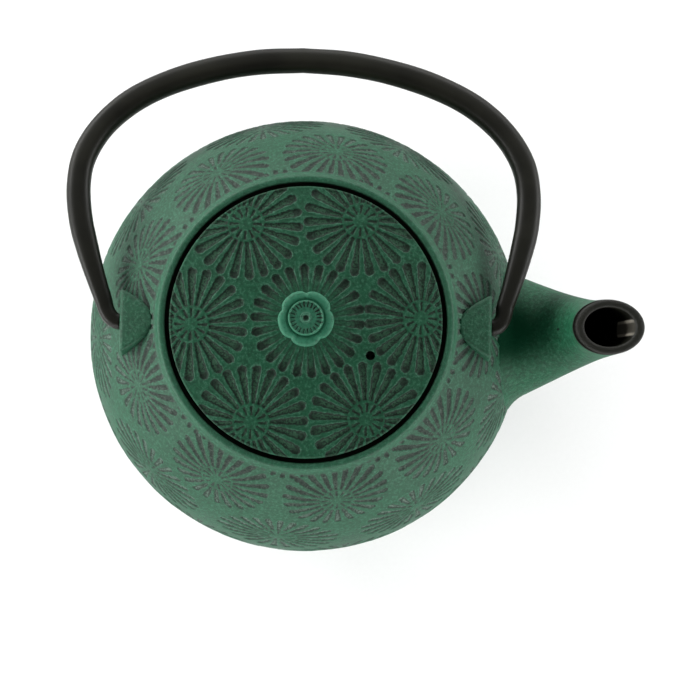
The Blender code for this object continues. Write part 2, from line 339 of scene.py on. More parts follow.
def graded_band(fine, coarse, ratio, coarse_count, flipped):
    """Faces between a ring of ratio x coarse_count points and one of coarse_count points."""
    i = np.arange(coarse_count)
    total = ratio * coarse_count
    fine_run = [fine + (i * ratio + k) % total for k in range(ratio + 1)]
    block = np.stack([*fine_run, coarse + (i + 1) % coarse_count, coarse + i], 1)
    return block[:, ::-1] if flipped else block


class Turned:
    """A solid of rings round the Z axis, each given by radii and heights."""

    def __init__(self):
        self.points, self.faces, self.kinds, self.rings = [], [], [], []
        self.count = 0

    def ring(self, radius, height, around, kind=0):
        """Adds a ring and the faces from the ring before. kind is the surface of those faces."""
        angle = angles(around)
        radius, height = np.broadcast_to(radius, around), np.broadcast_to(height, around)
        self.points.append(np.stack([radius * np.cos(angle), radius * np.sin(angle), height], 1))
        if self.rings:
            self.join(self.rings[-1], (self.count, around), kind)
        self.rings.append((self.count, around))
        self.count += around

    def outline(self, places, around, kind=0):
        """Adds a ring for each (radius, height)."""
        for radius, height in places:
            self.ring(radius, height, around, kind)

    def join(self, before, after, kind):
        (a, na), (b, nb) = before, after
        if na == nb:
            block = band(a, b, na)
        elif na > nb:
            block = graded_band(a, b, na // nb, nb, False)
        else:
            block = graded_band(b, a, nb // na, na, True)
        self.faces.append(block)
        self.kinds.append(np.full(len(block), kind))

    def close(self, kind=0):
        self.join(self.rings[-1], self.rings[0], kind)

    def cap(self, kind=0, flipped=False):
        """Closes the last ring, or the first if flipped, with one flat face."""
        start, around = self.rings[0] if flipped else self.rings[-1]
        face = np.arange(around) + start
        self.faces.append((face[::-1] if flipped else face)[None])
        self.kinds.append(np.array([kind]))

    def piece(self, name, *rest, **more):
        kinds = np.concatenate(self.kinds)
        return mesh_piece(name, np.concatenate(self.points), self.faces, *rest, face_surface=kinds, **more)


def cutter(name, rings):
    """A capped loft through rings of points in mm, for carve."""
    rings = np.array(rings)
    return mesh_piece(name, rings.reshape(-1, 3), loft_faces(*rings.shape[:2]), None, None, None, [])


def carve(piece, cut_away):
    """Cuts a cutter from a closed mesh for good, and drops the cutter."""
    cut = piece.modifiers.new("cut", "BOOLEAN")
    cut.operation = "DIFFERENCE"
    cut.solver = "MANIFOLD"
    cut.object = cut_away
    graph = bpy.context.evaluated_depsgraph_get()
    mesh = bpy.data.meshes.new_from_object(piece.evaluated_get(graph))
    piece.modifiers.clear()
    piece.data = mesh
    bpy.data.objects.remove(cut_away, do_unlink=True)


def smooth_through(rows, per_span):
    """Catmull-Rom spline through rows of numbers."""
    rows = np.array(rows, float)
    rows = np.vstack([2 * rows[0] - rows[1], rows, 2 * rows[-1] - rows[-2]])
    found = []
    for a, b, c, d in zip(rows, rows[1:], rows[2:], rows[3:]):
        for t in np.arange(per_span) / per_span:
            pull = 2 * b + (c - a) * t + (2 * a - 5 * b + 4 * c - d) * t**2 + (3 * b - a - 3 * c + d) * t**3
            found.append(pull / 2)
    return np.array(found + [rows[-2]])


# Materials ------------------------------------------------------------


def new_material(name):
    made = bpy.data.materials.new(name)
    made.use_nodes = True
    tree = made.node_tree
    return made, tree, tree.nodes["Principled BSDF"]


def place_mm(tree):
    """(x, y, z) of the surface in the piece's own frame, in millimetres, and the coordinate's socket."""
    coordinate = tree.nodes.new("ShaderNodeTexCoord")
    split = tree.nodes.new("ShaderNodeSeparateXYZ")
    tree.links.new(coordinate.outputs["Object"], split.inputs[0])
    x, y, z = (Socket(tree, out) * 1000 for out in split.outputs)
    return x, y, z, coordinate.outputs["Object"]


def noise(tree, place, size_mm, detail=2.0, rough=0.5, stretch=None):
    """Noise from 0 to 1 whose blobs are about size_mm across."""
    node = tree.nodes.new("ShaderNodeTexNoise")
    node.inputs["Scale"].default_value = 1000 / size_mm
    node.inputs["Detail"].default_value = detail
    node.inputs["Roughness"].default_value = rough
    if stretch:
        mapping = tree.nodes.new("ShaderNodeMapping")
        mapping.inputs["Scale"].default_value = stretch
        tree.links.new(place, mapping.inputs["Vector"])
        place = mapping.outputs["Vector"]
    tree.links.new(place, node.inputs["Vector"])
    return Socket(tree, node.outputs[0])


def colour_mix(tree, amount, first, second):
    """A colour between two others, each a tuple or a colour output."""
    node = tree.nodes.new("ShaderNodeMix")
    node.data_type = "RGBA"
    feed(tree, node.inputs["Factor"], amount)
    for key, value in (("A", first), ("B", second)):
        socket = [s for s in node.inputs if s.name == key and s.type == "RGBA"][0]
        if isinstance(value, tuple):
            socket.default_value = (*value, 1)
        else:
            tree.links.new(value, socket)
    return [s for s in node.outputs if s.type == "RGBA"][0]


def bump(tree, shader, height, distance_mm):
    """Feeds the shader's normal with a height from 0 to 1 that stands for distance_mm."""
    node = tree.nodes.new("ShaderNodeBump")
    node.inputs["Strength"].default_value = 1.0
    node.inputs["Distance"].default_value = distance_mm * MM
    feed(tree, node.inputs["Height"], height)
    tree.links.new(node.outputs["Normal"], shader.inputs["Normal"])


# Enamel: each green is a mottle of a ground colour and a lower one.
GREEN, GREEN_LOW = (0.0045, 0.060, 0.0265), (0.0020, 0.040, 0.0170)
LID_GREEN, LID_GREEN_LOW = (0.0038, 0.054, 0.0238), (0.0018, 0.037, 0.0157)
KNOB_GREEN, KNOB_GREEN_LOW = (0.014, 0.116, 0.062), (0.011, 0.100, 0.052)
SPOUT_GREEN = (0.0045, 0.070, 0.030)
# painted shade round the spout's root
SPOUT_SHADE_GREEN = (0.0005, 0.0200, 0.0080)
GREEN_WORN = (0.030, 0.110, 0.066)  # light specks, ridges and the paler neck
PIT_GREEN = (0.0015, 0.020, 0.0090)  # dark specks
PIT_AND_SHADE_DARK = (0.0012, 0.0075, 0.0035)  # painted shade along the petals' edges and in the pot's upper recesses, and the real dark of the lid's petal tips, the knob's marks and casting pits
# The petals' beds: their dark colour and the lighter grains in it. The pot's grains are painted pale grey: real
# grain with a painted sheen.
PIT_BED, PIT_GRAIN = (0.0012, 0.0095, 0.0045), (0.0150, 0.0540, 0.0280)
POT_BED, POT_GRAIN_SHEEN = (0.004, 0.021, 0.011), (0.068, 0.104, 0.082)
BLACK_ENAMEL = (0.0065, 0.0068, 0.0045)
LIP_BLACK = (0.0036, 0.0038, 0.0026)
HANDLE_BLACK = (0.0042, 0.0042, 0.0026)
# the pale grey of the painted highlight inside the spout's mouth
HIGHLIGHT_GREY = (0.42, 0.39, 0.32)
WASHER_STEEL, RIM_STEEL, MESH_STEEL = (0.45, 0.45, 0.44), (0.52, 0.52, 0.51), (0.44, 0.44, 0.43)
# the shine left where shade is painted round the spout's root
SPOUT_SHADE_SHINE = 0.02
OUTLINE_WANDER = 1.4  # how far in mm the petals' outlines stray over the range of a noise
CASTING_PIT = (0.30, 0.55)  # radii of a pit's dark middle and of its soft edge


def enamel(
    name, relief=None, ground=GREEN, low=GREEN_LOW, bed=PIT_BED, grit_and_sheen=PIT_GRAIN,
    shine=0.28, paler=None, painted_shade=None, black_above=None, pits=(),
):
    """Matt green enamel on cast iron. relief gives recess, ridge and darkness from the place on the surface, the
    darkness being dark marks and painted shade, and paler gives where the colour is painted paler, and
    painted_shade where shade is painted in. pits are (x, y) of casting pits."""
    made, tree, shader = new_material(name)
    x, y, z, place = place_mm(tree)
    cloud = noise(tree, place, 14.0, 3.0)
    grain = noise(tree, place, 1.9, 5.0, 0.75)
    fine = noise(tree, place, 1.0, 3.0, 0.7)
    mottle = step(0.36, 0.64, cloud) * 0.35 + step(0.43, 0.57, grain) * 0.65
    colour = colour_mix(tree, mottle, low, ground)
    colour = colour_mix(tree, step(0.52, 0.62, fine) * 0.46, colour, GREEN_WORN)
    colour = colour_mix(tree, (1 - step(0.38, 0.48, fine)) * 0.42, colour, PIT_GREEN)
    height = grain * 0.6 + fine * 0.4
    rough = 0.50 + fine * 0.14
    if relief:
        stray_x, stray_y = ((noise(tree, place, mm, 3.0, 0.6) - 0.5) * OUTLINE_WANDER for mm in (1.15, 1.35))
        sunk, line, dark = relief(x + stray_x, y + stray_y, z)
        colour = colour_mix(tree, line * (0.05 + step(0.42, 0.60, grain) * 0.35), colour, GREEN_WORN)
        speck = noise(tree, place, 0.8, 2.0, 0.7)
        # on the pot the grains are painted pale grey, real grain with a painted sheen
        grainy = colour_mix(tree, step(0.41, 0.55, speck * 0.75 + grain * 0.25), bed, grit_and_sheen)
        colour = colour_mix(tree, sunk * 0.9, colour, grainy)
        # dark holds real dark marks, and painted shade along the petals' edges and in the pot's upper recesses
        colour = colour_mix(tree, dark * (1 - step(0.50, 0.66, grain) * 0.6), colour, PIT_AND_SHADE_DARK)
        height = height * (0.55 + sunk * 0.45) + line * 0.10
        rough = rough + sunk * 0.10
    if paler:
        colour = colour_mix(tree, paler(x, y, z), colour, GREEN_WORN)
    # painted shade: darker and less shiny where the function says
    if painted_shade:
        shade_amount = painted_shade(x, y, z)
        colour = colour_mix(tree, shade_amount, colour, SPOUT_SHADE_GREEN)
        feed(tree, shader.inputs["Specular IOR Level"], shine - shade_amount * (shine - SPOUT_SHADE_SHINE))
    else:
        shader.inputs["Specular IOR Level"].default_value = shine
    if black_above:
        wavy = z + (noise(tree, place, 5.0) - 0.5) * 1.2
        dipped = step(black_above - 0.25, black_above + 0.25, wavy)
        colour = colour_mix(tree, dipped, colour, BLACK_ENAMEL)
        rough = rough - dipped * 0.08
    feed(tree, shader.inputs["Roughness"], rough)
    for px, py in pits:
        colour = colour_mix(tree, 1 - step(*CASTING_PIT, hypot(x - px, y - py)), colour, PIT_AND_SHADE_DARK)
    tree.links.new(colour, shader.inputs["Base Color"])
    bump(tree, shader, height, 0.40)
    return made


def black_enamel(name, roughness=0.40, colour=BLACK_ENAMEL, streaks=None, shine=0.18, paler=None):
    """Black enamel, softly cloudy. streaks stretches the clouds, and paler says where a painted highlight
    lightens it.
    """
    made, tree, shader = new_material(name)
    x, y, z, place = place_mm(tree)
    cloud = noise(tree, place, 6.0, 3.0, 0.55, streaks)
    grain = noise(tree, place, 0.5, 2.0)
    lighter = tuple(1.9 * c for c in colour)
    mixed = colour_mix(tree, step(0.35, 0.75, cloud), colour, lighter)
    # a painted highlight where the function says
    if paler:
        mixed = colour_mix(tree, paler(x, y, z), mixed, HIGHLIGHT_GREY)
    tree.links.new(mixed, shader.inputs["Base Color"])
    feed(tree, shader.inputs["Roughness"], roughness - 0.05 + cloud * 0.14)
    shader.inputs["Specular IOR Level"].default_value = shine
    bump(tree, shader, grain * 0.5 + cloud * 0.5, 0.05)
    return made


def steel(name, colour, roughness, brush):
    """Stainless steel with fine scratches. brush stretches the noise across them."""
    made, tree, shader = new_material(name)
    *_, place = place_mm(tree)
    scratch = noise(tree, place, 0.6, 3.0, 0.6, brush)
    cloud = noise(tree, place, 9.0)
    darker = tuple(0.82 * c for c in colour)
    tree.links.new(colour_mix(tree, cloud, darker, colour), shader.inputs["Base Color"])
    shader.inputs["Metallic"].default_value = 1.0
    feed(tree, shader.inputs["Roughness"], roughness - 0.03 + scratch * 0.08)
    bump(tree, shader, scratch, 0.002)
    return made


def plain_floor():
    made, tree, shader = new_material("floor_paper")
    *_, place = place_mm(tree)
    fibre = noise(tree, place, 1.5, 3.0)
    tree.links.new(colour_mix(tree, fibre, 3 * (0.90,), 3 * (0.93,)), shader.inputs["Base Color"])
    shader.inputs["Roughness"].default_value = 0.9
    shader.inputs["Specular IOR Level"].default_value = 0.1
    return made


# The pot --------------------------------------------------------------


def meridian(arc, outer_r, upper, lower):
    """Radius, height and outward normal of a spheroid at an arc height, for arrays."""
    lean = np.linspace(-math.pi / 2, math.pi / 2, 4001)
    half = np.where(lean > 0, upper, lower)
    r, z = outer_r * np.cos(lean), BELLY_Z + half * np.sin(lean)
    length = np.concatenate([[0], np.cumsum(np.hypot(np.diff(r), np.diff(z)))])
    length -= np.interp(0, lean, length)
    at = np.interp(arc, length, lean)
    half = np.where(at > 0, upper, lower)
    normal = np.stack([half * np.cos(at), outer_r * np.sin(at)])
    normal /= np.linalg.norm(normal, axis=0)
    return outer_r * np.cos(at), BELLY_Z + half * np.sin(at), normal


def relief_depth(sunk, line):
    """How far the relief lies outside the frame's surface, in mm."""
    return line * GROUND - sunk * RECESS - GROUND


def pot_ring(turned, arc):
    """A ring of the pot's outside with its relief."""
    r, z, normal = meridian(np.full(AROUND_FINE, arc), BELLY_R, UPPER_C, LOWER_C)
    angle = angles(AROUND_FINE)
    sunk, line, _ = body_marks(r * np.cos(angle), r * np.sin(angle), z, 0.22)
    depth = relief_depth(sunk, line) * (1 - step(PATTERN_TOP[0], SHOULDER_ARC, arc))
    turned.ring(r + depth * normal[0], z + depth * normal[1], AROUND_FINE)


def inner_rings(turned, arcs):
    """Rings of the pot's black inside."""
    r, z, _ = meridian(arcs, BELLY_R - WALL, UPPER_C - WALL, LOWER_C - WALL)
    turned.outline(zip(r, z), AROUND_COARSE, 1)


AROUND_FINE, AROUND_COARSE = 800, 100
LOWEST_ARC = -60.5


def build_upper(green, black):
    """Shoulder with its relief, neck ring, lid recess and the inside down to the widest level."""
    turned = Turned()
    for arc in np.linspace(0, SHOULDER_ARC, 105):
        pot_ring(turned, arc)
    side = (NECK_R - 0.1, NECK_TOP - 1.5)
    fillet = ((NECK_R + NECK_FILLET, 96.45), (NECK_R + 0.35, 97.1), side)
    rounding = (side, (NECK_R - 0.4, NECK_TOP - 0.1), (NECK_R - 1.5, NECK_TOP))
    for curve in (fillet, rounding):
        first, corner, last = np.array(curve)
        for t in (0.2, 0.4, 0.6, 0.8, 1.0):
            r, z = (1 - t) ** 2 * first + 2 * t * (1 - t) * corner + t * t * last
            turned.ring(r, z, AROUND_FINE)
    edge = ((SEAT_R + 0.7, NECK_TOP), (SEAT_R + 0.2, NECK_TOP - 0.2), (SEAT_R, NECK_TOP - 0.7))
    turned.outline(edge, AROUND_COARSE)
    seat = (
        (SEAT_R, SEAT_Z + 0.4), (SEAT_R - 0.4, SEAT_Z), (MOUTH_R + 0.5, SEAT_Z), (MOUTH_R, SEAT_Z - 0.5),
        (MOUTH_R, SEAT_Z - LEDGE),
    )
    turned.outline(seat, AROUND_COARSE, 1)
    inner_rings(turned, np.linspace(54.5, 0, 24))
    turned.close(1)
    return turned.piece("pot_shoulder", "pot", "pot_enamel", ["body_casting"], [green, black], sharp=75)


def build_lower(green, black):
    """The lower half: relief, plain foot, flat base and the inside floor."""
    turned = Turned()
    r_foot = BELLY_R * math.sqrt(1 - (BELLY_Z / LOWER_C) ** 2)
    turned.outline(((r_foot - 1.2, 0.0), (r_foot - 0.5, 0.15)), AROUND_FINE)
    for arc in np.linspace(LOWEST_ARC, 0, 105):
        pot_ring(turned, arc)
    inner_rings(turned, np.linspace(0, -52, 24))
    turned.outline(((36.0, FLOOR + 0.6), (33.0, FLOOR)), AROUND_COARSE, 1)
    turned.cap(1)
    turned.cap(1, flipped=True)
    return turned.piece("pot_foot", "pot", "pot_enamel", ["body_casting"], [green, black], sharp=75)


# (x, z) of the spout's upper and lower side, and half its width, from inside the pot to the mouth
SPOUT_STATIONS = (
    (56.0, 77.0, 60.0, 23.0, 27.0),
    (69.5, 78.0, 73.0, 32.0, 22.0),
    (77.2, 79.2, 82.8, 45.0, 17.9),
    (83.3, 84.5, 94.2, 62.0, 13.5),
    (87.0, 92.5, 104.2, 81.5, 10.2),
    (88.0, 100.5, 111.7, 100.5, 9.1),
)
SPOUT_WALL, SPOUT_WALL_ALONG = 2.6, 3.0
SPOUT_AROUND = 128
SPOUT_SKIPPED = 6  # the first rings would stand out of the wall into the pot


def spout_rings(inset_along, inset_across, spans):
    """Oval rings of the spout, from inside the pot to the level mouth, as an array rings x points x 3."""
    rows = smooth_through(SPOUT_STATIONS, spans)
    turn = angles(SPOUT_AROUND)
    rings = []
    for top_x, top_z, low_x, low_z, half in rows:
        top, low = np.array([top_x, 0, top_z]), np.array([low_x, 0, low_z])
        reach = np.linalg.norm(low - top) / 2
        along = (low - top) / (2 * reach)
        middle = (top + low) / 2
        across = np.array([0, half - inset_across, 0])
        ring = middle + np.outer(np.cos(turn), along * (reach - inset_along)) + np.outer(np.sin(turn), across)
        rings.append(ring)
    return np.array(rings)


def over_pot(points):
    """Distance of points from the pot's outside, roughly, and its outward normals."""
    half = np.where(points[..., 2] > BELLY_Z, UPPER_C, LOWER_C)
    scaled = points - (0, 0, BELLY_Z)
    axes = np.stack([np.full_like(half, BELLY_R), np.full_like(half, BELLY_R), half], -1)
    level = np.linalg.norm(scaled / axes, axis=-1)
    slope = scaled / axes**2
    steep = np.linalg.norm(slope, axis=-1)
    return (level - 1) * level / steep, slope / steep[..., None]


SPOUT_FLARE = 3.8  # radius of the fillet where the spout grows out of the pot


def flare(rings):
    """Pushes the rings outwards near the pot, so that the spout runs into it in a fillet."""
    distance, normal = over_pot(rings)
    out = rings - rings.mean(axis=1, keepdims=True)
    out -= (out * normal).sum(-1, keepdims=True) * normal
    out /= np.linalg.norm(out, axis=-1, keepdims=True)
    near = np.clip(1 - distance / SPOUT_FLARE, 0, 1)
    push = SPOUT_FLARE * (1 - np.sqrt(1 - np.minimum(near, 0.98) ** 2))
    return rings + out * push[..., None]


LIP_BLACK_FROM = 99.0  # the lip is dipped in black down to this height
LIP_WIDER = 0.8  # the lip is broader on the side of the pot
SPOUT_LIP = ((0.0, 0.9), (0.06, 0.45), (0.2, 0.12), (0.5, 0.0), (0.8, 0.05), (0.95, 0.35), (1.0, 0.9))
RIB_Y, RIB_HALF_WIDTH, RIB_HEIGHT = 2.1, 0.55, 0.55  # two low ribs down the inside of the mouth


def mouth_highlight(x, y, z):
    """A painted reflection down the mouth's far inner wall: a pale patch with two brighter streaks over the ribs.
    """
    inside = step(103.6, 104.0, x) * (1 - step(108.2, 109.6, x)) * (1 - step(99.6, 100.2, z))
    across = 1 - step(2.5, 2.9, size(y))
    streak = 1 - step(0.25, 0.65, size(size(y) - RIB_Y))
    return inside * across * (0.32 + streak * 0.45) * (1 - step(104.5, 108.5, x) * 0.8)


def build_spout(green, black):
    spans = 14
    outer = flare(spout_rings(0, 0, spans))
    inner = spout_rings(SPOUT_WALL_ALONG, SPOUT_WALL, spans)[::-1]
    outer = outer[SPOUT_SKIPPED:]
    inner = inner[: len(inner) - SPOUT_SKIPPED]
    mouth_z = outer[-1, 0, 2]
    lip_out, lip_in = outer[-1].copy(), inner[0].copy()
    centre = lip_out.mean(axis=0)
    soft = []
    for inward, down in SPOUT_LIP:
        ring = lip_out + (lip_in - lip_out) * inward
        ring[:, 2] = mouth_z - down
        soft.append(ring)
    ribs = inner[1:].copy()
    for ring in (*soft[1:], *ribs):
        near_side = np.clip((centre[0] - ring[:, 0]) / 9, 0, 1)
        ring[:, 0] += LIP_WIDER * near_side * np.exp(-(((mouth_z - ring[:, 2]) / 4) ** 2))
    for sign in (-1, 1):
        close = np.exp(-(((ribs[..., 1] - sign * RIB_Y) / RIB_HALF_WIDTH) ** 2))
        low_side = step(-1.0, 2.0, ribs[..., 0] - ribs[..., 0].mean(axis=1, keepdims=True))
        high = step(80.0, 84.0, ribs[..., 2])
        ribs[..., 0] -= RIB_HEIGHT * close * low_side * high
    rings = np.concatenate([outer[:-1], np.array(soft), ribs])
    points, faces = rings.reshape(-1, 3), loft_faces(len(rings), SPOUT_AROUND, True)
    first_black = len(outer) + len(soft) - 2
    kinds = np.repeat((np.arange(len(rings)) >= first_black).astype(int), SPOUT_AROUND)
    node, surfaces = ["body_casting"], [green, black]
    mesh_piece("pot_spout", points, faces, "pot", "pot_enamel", node, surfaces, kinds, sharp=None)


LUG_FACE_X, LUG_TIP_X, LUG_HALF_W = 61.7, 50.4, 10.6
LUG_TOP, LUG_RISE, LUG_FOOT = 93.6, 2.6, 78.0
LUG_DRAFT = 1.12  # width at the foot over width at the top
PIVOT_Z, PIN_R, PIN_HOLE_R, PIN_END_X = 89.0, 2.5, 2.9, 58.6


def build_lug(side, green):
    """An ear with a flat upright face, sides that close in a parabola towards the lid, and the pin's hole."""
    across = np.linspace(-1, 1, 25)
    inward = 1 - across**2
    rings = []
    for level in (0.0, 0.5, 1.0):
        draft = LUG_DRAFT + (1 - LUG_DRAFT) * level
        x = LUG_FACE_X - (LUG_FACE_X - LUG_TIP_X) * inward
        z = LUG_FOOT + (LUG_TOP + LUG_RISE * inward - LUG_FOOT) * level
        rings.append(np.stack([side * x, across * LUG_HALF_W * draft, z], 1))
    name = "lug_left" if side < 0 else "lug_right"
    points, faces = np.concatenate(rings), loft_faces(len(rings), len(across))
    lug = mesh_piece(name, points, faces, "pot", "pot_enamel", ["body_casting"], [green], sharp=30)
    rounded = lug.modifiers.new("round edges", "BEVEL")
    rounded.width, rounded.segments = 1.4 * MM, 5
    rounded.limit_method, rounded.angle_limit = "ANGLE", math.radians(40)
    turn = angles(32)
    y, z = PIN_HOLE_R * np.cos(turn), PIVOT_Z + PIN_HOLE_R * np.sin(turn)
    ends = [np.stack([np.full(32, side * x), y, z], 1) for x in (PIN_END_X - 0.6, LUG_FACE_X + 2)]
    carve(lug, cutter("pin_hole", ends))
    lug.data.set_sharp_from_angle(angle=math.radians(35))


# The lid --------------------------------------------------------------


def dome_z(r, base):
    """Height of the lid's dome, or of its underside, at a distance from the axis."""
    return base + LID_RISE * (1 - (r / LID_R) ** 2)


def build_lid(green, black):
    """The lid: domed and carved above, black below, with the flange, the knob's bore and the vent."""
    edge_top = LID_BASE + LID_EDGE
    under = edge_top - LID_WALL
    turned = Turned()
    edge = (
        (LID_R - 0.4, LID_BASE), (LID_R - 0.1, LID_BASE + 0.15), (LID_R, LID_BASE + 0.5),
        (LID_R, edge_top - 0.6), (LID_R - 0.12, edge_top - 0.2),
    )
    turned.outline(edge, AROUND_FINE)
    angle = angles(AROUND_FINE)
    for r in np.linspace(LID_R - 0.45, STEM_R + GAP, 112):
        sunk, line, _ = lid_marks(r * np.cos(angle), r * np.sin(angle), 0.20)
        inset = min(1.0, (LID_R - 0.4 - r) / 0.6)
        turned.ring(r, dome_z(r, edge_top) + relief_depth(sunk, line) * inset, AROUND_FINE)
    inner = FLANGE_R - FLANGE_WALL
    below = [(r, dome_z(r, under)) for r in np.linspace(STEM_R + GAP + 3, inner - 0.8, 6)]
    flange = (
        (inner, dome_z(inner, under) - 0.8), (inner, FLANGE_END + 0.4), (inner + 0.4, FLANGE_END),
        (FLANGE_R - 0.4, FLANGE_END), (FLANGE_R, FLANGE_END + 0.4), (FLANGE_R, LID_BASE - 0.6),
        (FLANGE_R + 0.6, LID_BASE),
    )
    turned.outline(((STEM_R + GAP, dome_z(STEM_R, under)), *below, *flange), AROUND_COARSE, 1)
    turned.close(1)
    lid = turned.piece("lid_relief", "lid", "pot_enamel", ["lid_casting"], [green, black], sharp=None)
    distance, heading = VENT_AT
    turn = angles(40)
    x = distance * math.cos(heading) + VENT_R * np.cos(turn)
    y = distance * math.sin(heading) + VENT_R * np.sin(turn)
    ends = [np.stack([x, y, np.full(40, z)], 1) for z in (LID_BASE - 3, edge_top + LID_RISE + 2)]
    carve(lid, cutter("vent", ends))


KNOB_R, KNOB_LOBES = 9.2, 5
KNOB_VALLEY = 0.11  # depth of the valleys between the lobes over the radius
KNOB_DASHES = 22
KNOB_DASH_R, KNOB_DASH_HALF = 4.5, 0.7
KNOB_RIM_R, KNOB_RING_R = 5.45, 1.5
KNOB_DISC_Z = (112.6, 113.2)  # the dashes, ring and rim are above this
WASHER_R, WASHER_THICK = 7.0, 1.0


def knob_dash(angle, r):
    """Distance in mm to the nearest dash's middle line, or past its ends."""
    return most(spokes(angle, r, KNOB_DASHES)[0], size(r - KNOB_DASH_R) - KNOB_DASH_HALF)


def build_knob(green):
    """The five-lobed knob with its raised disc, dashes, ring and dot, and the stem with its peened end."""
    around = 240
    edge_top = LID_BASE + LID_EDGE
    seat = dome_z(0, edge_top) + GAP
    washer_top = dome_z(WASHER_R, edge_top - LID_WALL) - GAP
    peen_top = washer_top - WASHER_THICK - GAP
    angle = angles(around)
    lobe = (1 - np.abs(np.sin(KNOB_LOBES * (angle - math.pi / 2) / 2))) ** 2
    stem = (
        (2.75, peen_top - 1.6), (4.5, peen_top - 1.0), (5.0, peen_top - 0.2), (4.8, peen_top),
        (STEM_R, peen_top), (STEM_R, seat),
    )
    # (radius, height over the seat, how lobed) up the head and onto its disc
    head = (
        (5.4, 0, 0), (5.3, 0.4, 0), (4.7, 1.2, 0), (4.3, 2.2, 0), (4.3, 3.0, 0), (4.8, 3.8, 0.1),
        (6.2, 4.6, 0.4), (7.9, 5.2, 0.8), (8.9, 5.6, 1), (9.15, 6.0, 1), (KNOB_R, 6.4, 1),
        (9.17, 6.9, 1), (9.0, 7.3, 1), (8.6, 7.62, 1), (8.0, 7.82, 1), (7.3, 7.9, 0.8),
        (6.7, 7.9, 0.3), (6.35, 7.82, 0), (6.15, 7.55, 0), (5.9, 7.5, 0), (5.75, 7.8, 0),
        (5.7, 8.45, 0), (5.55, 8.68, 0), (5.45, 8.7, 0), (5.32, 8.62, 0), (5.28, 8.42, 0),
    )
    turned = Turned()
    turned.outline(stem, around)
    for r, z, lobed in head:
        turned.ring(r * (1 - KNOB_VALLEY * lobed * lobe), seat + z, around)
    for r in np.linspace(5.2, 0.15, 44):
        dash = 1 - step(0.14, 0.34, knob_dash(angle, r))
        ring_up = math.exp(-(((r - KNOB_RING_R) / 0.3) ** 2))
        dot = 1 - float(step(0.7, 1.15, np.float64(r)))
        turned.ring(r, seat + 8.3 - 0.24 * dash + 0.22 * ring_up - 0.35 * dot, around)
    turned.cap()
    turned.cap(flipped=True)
    turned.piece("knob_flower", "lid", "pot_enamel", ["lid_knob"], [green], sharp=None)


def knob_relief(x, y, z):
    """The knob's dark dashes and dot: recess, ridge and darkness."""
    r = hypot(x, y)
    high = step(*KNOB_DISC_Z, z)
    dash = (1 - step(0.16, 0.36, knob_dash(atan2(y, x), r))) * high
    dot = (1 - step(0.8, 1.1, r)) * high
    rim = (1 - step(0.10, 0.35, size(r - KNOB_RIM_R))) * high
    ring = (1 - step(0.15, 0.45, size(r - KNOB_RING_R))) * high
    worn_side = step(-3.0, 3.0, y + x * 0.5) * 0.6 + 0.10  # the dashes are darker on one side
    disc = (1 - step(4.9, 5.3, r)) * high * 0.25
    dark = most(disc, most(dash * worn_side, dot * 0.65))
    return most(dash * (worn_side * 0.9 + 0.1), dot * 0.65), most(rim, ring), dark


def build_washer(metal):
    turned = Turned()
    top = dome_z(WASHER_R, LID_BASE + LID_EDGE - LID_WALL) - GAP
    low, inner, edge = top - WASHER_THICK, STEM_R + GAP, WASHER_R - 0.2
    outer = ((WASHER_R, low + 0.2), (WASHER_R, top - 0.2))
    turned.outline(((inner, low), (edge, low), *outer, (edge, top), (inner, top)), 96)
    turned.close()
    turned.piece("washer_ring", "lid", "washer_steel", ["knob_washer"], [metal], sharp=30)


# The handle -----------------------------------------------------------

ROD_R = 4.25
HANDLE_DROP = math.radians(12)
HOOP_LEAN = (0.4, 0.022)  # how far the hoop leans to the left: at the ears, and more for each mm from them
# (x, y) along half the hoop in its own plane, from its top to the bend, and round the bend to the pin
HOOP_HALF = (
    (0.0, 95.0), (15.0, 94.1), (30.0, 91.2), (45.0, 86.2), (58.0, 79.2), (68.0, 69.8),
    (74.2, 59.0), (76.1, 48.0), (75.2, 36.0), (72.6, 25.0), (69.6, 15.0), (66.9, 7.0),
)
HOOP_BEND = ((66.3, 4.3), (65.3, 2.1), (63.9, 0.6), (62.4, 0.0), (61.0, 0.0))


def rod_radius(along_arm, x):
    """The rod thins over its last 30 mm before the ears, and the pins are thinner still."""
    pin = (x < LUG_FACE_X + GAP) & (along_arm < PIN_R)
    return np.where(pin, PIN_R, np.minimum(ROD_R, PIN_R + (ROD_R - PIN_R) * (along_arm + 3.5) / 34))


